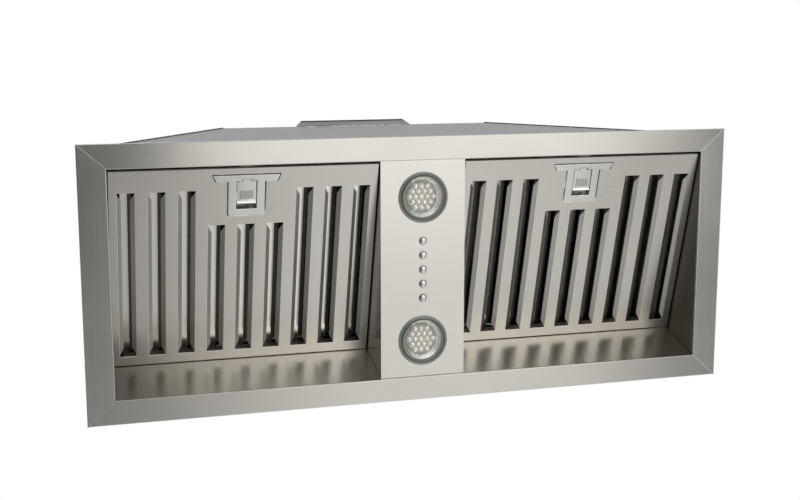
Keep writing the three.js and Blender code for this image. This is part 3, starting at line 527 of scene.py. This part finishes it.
edge_face_y = 0.1629
bracket_face_y = 0.16895
bracket_edge_half = 0.0815
bracket_edge_z = 0.3738
tab_z = 0.331
rim_tabs = (
    (-0.190, -0.175),
    (-0.079, -0.067),
    (-0.042, -0.032),
    (-0.028, -0.018),
    (-0.013, -0.006),
    (0.002, 0.027),
    (0.032, 0.039),
    (0.048, 0.065),
    (0.176, 0.190),
)
for wall, side in (("front", -1), ("rear", 1)):
    face_y = side * edge_face_y
    proud = (0, side * 0.0012, 0)
    for end, flip in (("left", -1), ("right", 1)):
        foot = (flip * (foot_half_x - 0.0001), face_y, skirt_top_z)
        head = (flip * (top_half_x + 0.0003), face_y, wall_top_z - 0.0001)
        inward = (-flip * 0.0019, 0, -0.0014)
        # A bar painted near black: painted shade along the wall's edge.
        bar(f"{wall}_wall_edge_{end}", foot, head, inward, proud, edge_shade_paint)
    # A bar painted near black: painted shade along the bracket's fold.
    bar(
        f"{wall}_bracket_edge",
        (-bracket_edge_half, side * bracket_face_y, bracket_edge_z),
        (bracket_edge_half, side * bracket_face_y, bracket_edge_z),
        (0, side * -0.0016, -0.0021),
        (0, side * 0.0003, -0.00023),
        edge_shade_paint,
    )
    for i, (low, high) in enumerate(rim_tabs):
        start, end = (low, face_y, tab_z), (high, face_y, tab_z)
        name = f"{wall}_wall_tab_{i + 1}"
        # A tab painted near white: a painted glint.
        bar(name, start, end, (0, 0, 0.0016), (0, side * 0.0009, 0), rim_glint_paint)

# ---------------------------------------------------------------- filter bays
# The sheet lining round each filter. The ledge behind each filter is polished and mirrors its ribs;
# the left one is painted darker towards its outer end, a painted shade. The walls are brushed, and
# the right one is painted much darker than the left.
lining_steel = finish("bay_lining", (0.52, 0.50, 0.46), (0.60, 0.58, 0.54), 0.38, (300, 6, 12), 0.03)
ledge_steel = finish("ledge_polish", (0.62, 0.60, 0.53), (0.70, 0.68, 0.61), 0.30, (300, 12, 12), 0.0)
bay_wall_darker = finish("bay_wall_dark_paint", (0.22, 0.205, 0.175), (0.36, 0.34, 0.30), 0.42, (40, 6, 60), 0.0)
dress("bay_wall_left", lining_steel)
# The right wall is painted much darker than the left.
dress("bay_wall_right", bay_wall_darker)
dress("front_rail", lining_steel)
# The left ledge is painted darker towards its outer end: painted shade.
ledge_shade_span = (-0.46, -0.26)
ledge_painted_shade = finish(
    "ledge_painted_dark_end", (0.20, 0.19, 0.165), (0.80, 0.775, 0.70), 0.30, (300, 12, 12), 0.0, painted_shade_x=ledge_shade_span
)
dress("rear_ledge_left", ledge_painted_shade, 0.0004)
dress("rear_ledge_right", ledge_steel, 0.0004)

# ---------------------------------------------------------------- centre column
# One long panel of sheet between the filters, brushed across and folded up along both sides. It
# carries the lamps and the buttons, and a plain cover closes the wiring behind it.
panel_steel = finish("panel_brushed", (0.655, 0.64, 0.615), (0.70, 0.685, 0.66), 0.24, (5, 1700, 1700))
dress("centre_panel", panel_steel, 0.0004)
dress("column_cover", top_steel, 0.0003)

# Two spot lamps. Each has a cast grey bezel with turned grooves, a clear glass, a faceted silver
# wall, a green board and a block of nineteen moulded lenses over the LEDs; fins cool it from behind.
lamp_y = 0.0946
face_z = 0.0001
cast = (120, 120, 120)
moulded = (260, 260, 260)
plated = (420, 420, 420)
bezel_grey = finish("bezel_cast", (0.27, 0.272, 0.245), (0.33, 0.332, 0.302), 0.34, cast, 0.02, 0.55)
# Painted shade on the bezel's inner ring and a painted highlight on its outer ring.
bezel_ring_shade_paint = finish("bezel_inner_painted_shade", (0.10, 0.105, 0.09), (0.14, 0.145, 0.125), 0.30, cast, 0.0, 0.6)
bezel_ring_highlight_paint = finish("bezel_outer_painted_highlight", (0.36, 0.36, 0.34), (0.42, 0.42, 0.40), 0.34, cast, 0.0, 0.6)
silver = finish("reflector_silver", (0.80, 0.82, 0.79), (1.0, 1.0, 0.98), 0.10, plated, 1.0, 0.82, 0.1)
# The lenses' near-white cream is partly their own colour and partly painted inner reflection.
lens_cream_and_reflection = finish("lens_moulding_and_reflection", (0.84, 0.80, 0.71), (1.0, 0.99, 0.95), 0.07, moulded, 1.0, 0.8, 0.2)
# The block between the lenses is painted dark brown: painted shade between them.
lens_gap_shade_paint = finish("lens_block_painted_shade", (0.20, 0.18, 0.14), (0.34, 0.31, 0.25), 0.2, plated, 0.5, 0.5, 0.3)
board_green = finish(
    "lamp_board", (0.085, 0.125, 0.09), (0.12, 0.16, 0.12), 0.35, (300, 300, 300), 0.05, 0.0
)
fin_grey = finish("fin_grey", (0.20, 0.205, 0.21), (0.26, 0.265, 0.27), 0.42, (60, 60, 300), 0.1, 0.8)
glass = bpy.data.materials.new("lamp_glass")
glass.use_nodes = True
glass_shader = glass.node_tree.nodes["Principled BSDF"]
glass_shader.inputs["Base Color"].default_value = (0.96, 0.97, 0.94, 1)
glass_shader.inputs["Roughness"].default_value = 0.04
glass_shader.inputs["Alpha"].default_value = 0.06
glass_shader.inputs["IOR"].default_value = 1.5

bezel_profile = [
    (0.0264, 0.0050),
    (0.0279, 0.0006),
    (0.0281, 0.0003),
    (0.0284, 0.0003),
    (0.0291, 0.0006),
    (0.0293, 0.0016),
    (0.0297, 0.0018),
    (0.0301, 0.0010),
    (0.0314, 0.0015),
    (0.0316, 0.0024),
    (0.0320, 0.0026),
    (0.0324, 0.0019),
    (0.0330, 0.0022),
    (0.03325, 0.0027),
    (0.03325, 0.0030),
    (0.0287, 0.0030),
    (0.0287, 0.0157),
    (0.0269, 0.0157),
    (0.0269, 0.0052),
]
inner_ring_profile = [
    (0.0279, 0.0020),
    (0.0280, 0.0003),
    (0.0283, 0.0000),
    (0.0292, 0.0004),
    (0.0295, 0.0008),
    (0.0295, 0.0025),
]
outer_ring_profile = [
    (0.0318, 0.0026),
    (0.0318, 0.0018),
    (0.0321, 0.0014),
    (0.0327, 0.0017),
    (0.03325, 0.0024),
    (0.03325, 0.0028),
]
glass_profile = [
    (0, 0.0036),
    (0.010, 0.0037),
    (0.018, 0.0040),
    (0.0250, 0.0046),
    (0.0263, 0.0050),
    (0.0263, 0.0058),
    (0, 0.0058),
]
reflector_profile = [
    (0.0266, 0.0060),
    (0.0266, 0.0130),
    (0.0209, 0.0130),
    (0.0206, 0.0124),
    (0.0230, 0.0095),
    (0.0263, 0.0060),
]
board_profile = [(0, 0.0130), (0.0228, 0.0130), (0.0228, 0.0146), (0, 0.0146)]


def facets(radius, i):
    """Pulls every other edge of the reflector's wall in, which makes narrow flat facets."""
    return radius - (0.0005 if radius < 0.0259 and i % 2 else 0.0)


fin_profile = [(0, 0.0150), (0.0192, 0.0150), (0.0192, 0.0176), (0.0264, 0.0176)]
for step in range(3):
    z = 0.0196 + 0.0052 * step
    fin_profile += [(0.0264, z), (0.0200, z + 0.0004), (0.0200, z + 0.0022), (0.0264, z + 0.0026)]
fin_profile += [(0.0264, 0.0328), (0.0150, 0.0352), (0, 0.0352)]
lens_pitch = 0.0080
lens_spots = []
for row in range(-2, 3):
    in_row = 5 - abs(row)
    for i in range(in_row):
        lens_spots.append((lens_pitch * (i - (in_row - 1) / 2), lens_pitch * 0.866 * row))
lens_profile = [
    (0, 0.0083),
    (0.0016, 0.0085),
    (0.0028, 0.0091),
    (0.0036, 0.0100),
    (0.00398, 0.0111),
    (0.00398, 0.0120),
    (0, 0.0120),
]
puck_profile = [(0, 0.0112), (0.0192, 0.0112), (0.0199, 0.0118), (0.0199, 0.0129), (0, 0.0129)]
up = (0, 0, 1)


def lamp_part(part, end, profile, material, solid=None, turns=48, **shape):
    """A turned part of the front or rear lamp; solid is the lamp's CAD solid that it stands for."""
    place = (0, lamp_y if end == "rear" else -lamp_y, face_z)
    stands_for = [f"lamp_{solid}_{end}"] if solid else ()
    turned(f"lamp_{part}_{end}", profile, place, up, material, stands_for=stands_for, turns=turns, **shape)


# The board's connector edge shows at the left of each lamp as a green crescent.
crescent_start, crescent_sweep = math.radians(118), math.radians(124)
crescent_rim, crescent_reach = 0.0263, 0.0046
crescent_stations = 25
crescent_faces = prism_faces(4, crescent_stations, closed=False)
for end, side in (("front", -1), ("rear", 1)):
    lamp_part("bezel", end, bezel_profile, bezel_grey, "ring", turns=72)
    lamp_part("inner_ring", end, inner_ring_profile, bezel_ring_shade_paint, turns=64)
    lamp_part("outer_ring", end, outer_ring_profile, bezel_ring_highlight_paint, turns=72)
    lamp_part("glass", end, glass_profile, glass, "lens", turns=64)
    lamp_part("reflector", end, reflector_profile, silver, turns=72, smooth=4, radius_at=facets)
    lamp_part("board", end, board_profile, board_green)
    crescent = []
    for i in range(crescent_stations):
        along_edge = i / (crescent_stations - 1)
        turn = crescent_start + crescent_sweep * along_edge
        inner = crescent_rim - crescent_reach * math.sin(math.pi * along_edge) ** 0.5
        for r, z in ((crescent_rim, 0.0064), (inner, 0.0072), (inner, 0.0082), (crescent_rim, 0.0082)):
            crescent.append((r * math.cos(turn), side * lamp_y + r * math.sin(turn), face_z + z))
    piece(f"lamp_board_edge_{end}", crescent, crescent_faces, board_green)
    lamp_part("lens_block_painted_shade", end, puck_profile, lens_gap_shade_paint)
    lamp_part("heat_sink", end, fin_profile, fin_grey, "body")
    for i, (x, y) in enumerate(lens_spots):
        place = (x, side * lamp_y + y, face_z)
        name = f"lamp_{end}_led_lens_{i + 1}"
        turned(name, lens_profile, place, up, lens_cream_and_reflection, turns=20, smooth=60)

# Five push buttons: chromed domes with thin stems, in a black switch block behind the panel.
chrome = finish("button_chrome", (0.68, 0.67, 0.655), (0.74, 0.73, 0.715), 0.07, (60, 60, 60), 0.0)
black_plastic = finish(
    "switch_plastic", (0.02, 0.02, 0.022), (0.03, 0.03, 0.032), 0.5, (60, 60, 60), 0.1, 0.0
)
button_pitch = 0.0189
button_profile = [
    (0, 0.0006),
    (0.0005, 0.0006),
    (0.0008, 0.0002),
    (0.0012, 0.0002),
    (0.0020, 0.0003),
    (0.0028, 0.00046),
    (0.0036, 0.0007),
    (0.0042, 0.00095),
    (0.0046, 0.0014),
    (0.0049, 0.0022),
    (0.0050, 0.0032),
    (0.0050, 0.0091),
    (0.0022, 0.0091),
    (0.0022, 0.0159),
    (0, 0.0159),
]
for i, label in enumerate(("light", "high", "medium", "low", "power")):
    name, solid = f"push_cap_{label}", f"button_{label}"
    place = (0, (i - 2) * button_pitch, 0)
    turned(name, button_profile, place, up, chrome, solid, [solid], turns=40, smooth=50)
dress("switch_block", black_plastic)

# ---------------------------------------------------------------- filters
# Satin steel baffle filters: two pressed pans each, with a slotted front one and a ribbed rear one.
# The bent flanks of the ribs are duller than their faces and painted darker, a painted shade, and
# their bends are painted bright, a painted highlight; painted shade also darkens the slots' ends and
# the folds of the rear pan.
brushed = (5, 700, 700)
flank_grain = (5, 5, 60)
filter_steel = finish("filter_satin", (0.63, 0.605, 0.575), (0.665, 0.64, 0.61), 0.30, brushed, 0.012)
# The rounded bends are painted near white: a painted highlight.
bend_highlight_paint = finish("filter_bend_painted_highlight", (0.90, 0.885, 0.86), (0.95, 0.935, 0.91), 0.36, (20, 20, 20), 0.0)
# Flanks painted darker than the faces: painted shade; the right filter's have a lighter painted shade.
flank_shade_paint = finish("filter_flank", (0.43, 0.415, 0.39), (0.50, 0.485, 0.46), 0.34, flank_grain, 0.0)
flank_lighter_shade_paint = finish(
    "filter_flank_lighter_shade_paint", (0.46, 0.44, 0.41), (0.53, 0.51, 0.48), 0.40, flank_grain, 0.0, 0.6
)
# The slots' lower ends and the right filter's left flanks are painted near black: painted shade.
slot_painted_shade = finish(
    "filter_slot_painted_shade", (0.20, 0.185, 0.165), (0.26, 0.245, 0.22), 0.34, flank_grain, 0.0
)
# The rear ribs are painted near white: painted light on ribs that sit in the filter's shade.
back_rib_light_paint = finish("rear_rib_painted_light", (0.92, 0.90, 0.86), (0.98, 0.96, 0.92), 0.24, (200, 5, 200), 0.0)
# The rear pan's bent folds are painted near black: painted shade inside the ribs.
rear_fold_shade_paint = finish(
    "rear_fold_painted_shade", (0.10, 0.088, 0.072), (0.20, 0.18, 0.155), 0.36, (60, 8, 60), 0.0, 0.35
)
edge_shadow_paint = finish(
    "filter_edge_painted_shadow", (0.018, 0.016, 0.013), (0.03, 0.027, 0.022), 0.6, (200, 200, 200), 0.0, 0.0
)
filter_middle = 0.227
filter_slope = math.radians(15.27)
square_to_filter = Vector((0, math.sin(filter_slope), -math.cos(filter_slope)))
up_filter = Vector((0, math.cos(filter_slope), math.sin(filter_slope)))


def paint_where(node, test, material):
    """Gives the faces of a node that pass the test a material of their own."""
    mesh = nodes[node].data
    mesh.materials.append(material)
    for face in mesh.polygons:
        if test(face):
            face.material_index = len(mesh.materials) - 1


def leans(face):
    """Whether a face is a bent flank, out of the filter's plane."""
    return abs(face.normal.dot(square_to_filter)) < 0.95


def is_slot_bottom(face):
    """Whether a face is the flank at the lower end of a slot."""
    return face.normal.dot(up_filter) < -0.3


def is_left_flank(face):
    """Whether a face is the flank on the left of a slot."""
    return face.normal.x > 0.3


for side in ("left", "right"):
    pan = f"filter_front_{side}"
    dress(pan, filter_steel, 0.00039, 22, bend_highlight_paint)
    paint_where(pan, leans, flank_shade_paint if side == "left" else flank_lighter_shade_paint)
    # Painted shade at the slots' lower ends, and on the right filter's left flanks.
    paint_where(pan, is_slot_bottom, slot_painted_shade)
    if side == "right":
        paint_where(pan, is_left_flank, slot_painted_shade)
    dress(f"filter_rear_{side}", back_rib_light_paint, 0.0003, 22)
    paint_where(f"filter_rear_{side}", leans, rear_fold_shade_paint)

# A strip painted near black along each filter's front edge, in the gap by the rail: a painted shadow.
shadow_strip_half = 0.1680
shadow_strip_y, shadow_strip_z = -0.1409, 0.0039
shadow_strip_wide = up_filter * 0.0014
shadow_strip_thick = square_to_filter * 0.0002
for side, middle_x in (("left", -filter_middle), ("right", filter_middle)):
    start = (middle_x - shadow_strip_half, shadow_strip_y, shadow_strip_z)
    end = (middle_x + shadow_strip_half, shadow_strip_y, shadow_strip_z)
    bar(f"filter_edge_shadow_{side}", start, end, shadow_strip_wide, shadow_strip_thick, edge_shadow_paint, f"filter_{side}")

# Each latch is a satin plate with a window, and a finger pull in it that ends in a roll painted
# near white, a painted highlight, as are the plate's rounded folds, and has a duller embossed pad.
# Its tongue holds over a keeper on the front rail.
latch_steel = finish("latch_satin", (0.70, 0.705, 0.70), (0.76, 0.765, 0.76), 0.22, (5, 900, 900), 0.02)
# The pull's roll and the plate's folds are painted near white: a painted highlight.
roll_highlight_paint = finish("latch_roll_painted_highlight", (0.95, 0.95, 0.94), (0.98, 0.98, 0.97), 0.16, (30, 30, 30), 0.0)
pad_grey = finish("latch_pad", (0.47, 0.47, 0.46), (0.53, 0.53, 0.52), 0.3, (5, 900, 900), 0.02)
roll_start_y = -0.0981
pad_half = 0.0083
pad_y = (-0.1104, -0.0995)
pad_top_z = 0.0165


def on_roll(face):
    """Whether a face of either finger pull is on its rolled lip."""
    return face.center.y > roll_start_y


def on_pad(face):
    """Whether a face of either finger pull is on its embossed pad."""
    x, y, z = face.center
    return abs(abs(x) - filter_middle) < pad_half and pad_y[0] < y < pad_y[1] and z < pad_top_z


for side in ("left", "right"):
    dress(f"latch_plate_{side}", latch_steel, 0.0005, fold=roll_highlight_paint)
    dress(f"latch_pull_{side}", latch_steel, 0.0003)
    paint_where(f"latch_pull_{side}", on_roll, roll_highlight_paint)
    paint_where(f"latch_pull_{side}", on_pad, pad_grey)
    dress(f"latch_keeper_{side}", latch_steel, 0.0002)

# ---------------------------------------------------------------- blower and duct outlet
# Galvanised sheet, folded, rolled and punched: the scroll housing with its inlet rings, impeller
# and motor bracket, the duct collar with its two flaps, and the wiring box.
galvanised = finish("galvanised_sheet", (0.46, 0.475, 0.49), (0.56, 0.57, 0.58), 0.36, (40, 40, 40), 0.03)
for name in (
    "blower_housing",
    "inlet_ring_left",
    "inlet_ring_right",
    "motor_bracket",
    "duct_collar",
    "wiring_box",
    "wiring_box_cover",
    "damper_flap_front",
    "damper_flap_rear",
    "damper_pin",
):
    dress(name, galvanised, 0.0003)
dress("impeller", galvanised)
dress("motor_shaft", chrome, 0.0003)
motor_black = finish(
    "motor_enamel", (0.03, 0.031, 0.034), (0.045, 0.046, 0.05), 0.42, (80, 80, 80), 0.08, 0.2
)
dress("motor_body", motor_black, 0.0006)

# Cross-head screws hold the collar's flange and the box's cover; a grommet guards the cable hole.
screw_zinc = finish("screw_zinc", (0.58, 0.58, 0.55), (0.66, 0.66, 0.63), 0.28, (200, 200, 200), 0.0)
rubber = finish(
    "grommet_rubber", (0.018, 0.018, 0.019), (0.026, 0.026, 0.027), 0.6, (90, 90, 90), 0.05, 0.0
)
screw_profile = [
    (0, -0.0006),
    (0.0016, -0.0006),
    (0.0019, 0.0),
    (0.0034, 0.0),
    (0.0035, 0.0006),
    (0.0031, 0.0014),
    (0.0023, 0.0018),
    (0.00179, 0.0019),
    (0.00130, 0.0007),
    (0, 0.0005),
]
grommet_profile = [
    (0.0066, 0.0020),
    (0.0080, 0.0030),
    (0.0122, 0.0028),
    (0.0136, 0.0014),
    (0.0136, -0.0001),
    (0.0110, -0.0001),
    (0.0110, -0.0011),
    (0.0128, -0.0011),
    (0.0128, -0.0028),
    (0.0066, -0.0028),
]


def cross(radius, i):
    """Draws a screw's round socket in to a cross with four arms."""
    return radius if radius > 0.0018 or i % 6 == 0 else radius * 0.36


def screw(name, place):
    turned(name, screw_profile, place, up, screw_zinc, turns=24, radius_at=cross)


flange_y, flange_z = -0.026, 0.3387
screw_circle = 0.1055
for i in range(8):
    turn = math.radians(22.5 + 45 * i)
    place = (screw_circle * math.cos(turn), flange_y + screw_circle * math.sin(turn), flange_z)
    screw(f"collar_screw_{i + 1}", place)
cover_z = 0.3710
cover_corners = ((0.1185, 0.0385), (0.1855, 0.0385), (0.1855, 0.0855), (0.1185, 0.0855))
for i, (x, y) in enumerate(cover_corners):
    screw(f"box_screw_{i + 1}", (x, y, cover_z))
cable_hole = (0.152, 0.092, 0.3535)
turned("cable_grommet", grommet_profile, cable_hole, (0, 1, 0), rubber, turns=40)
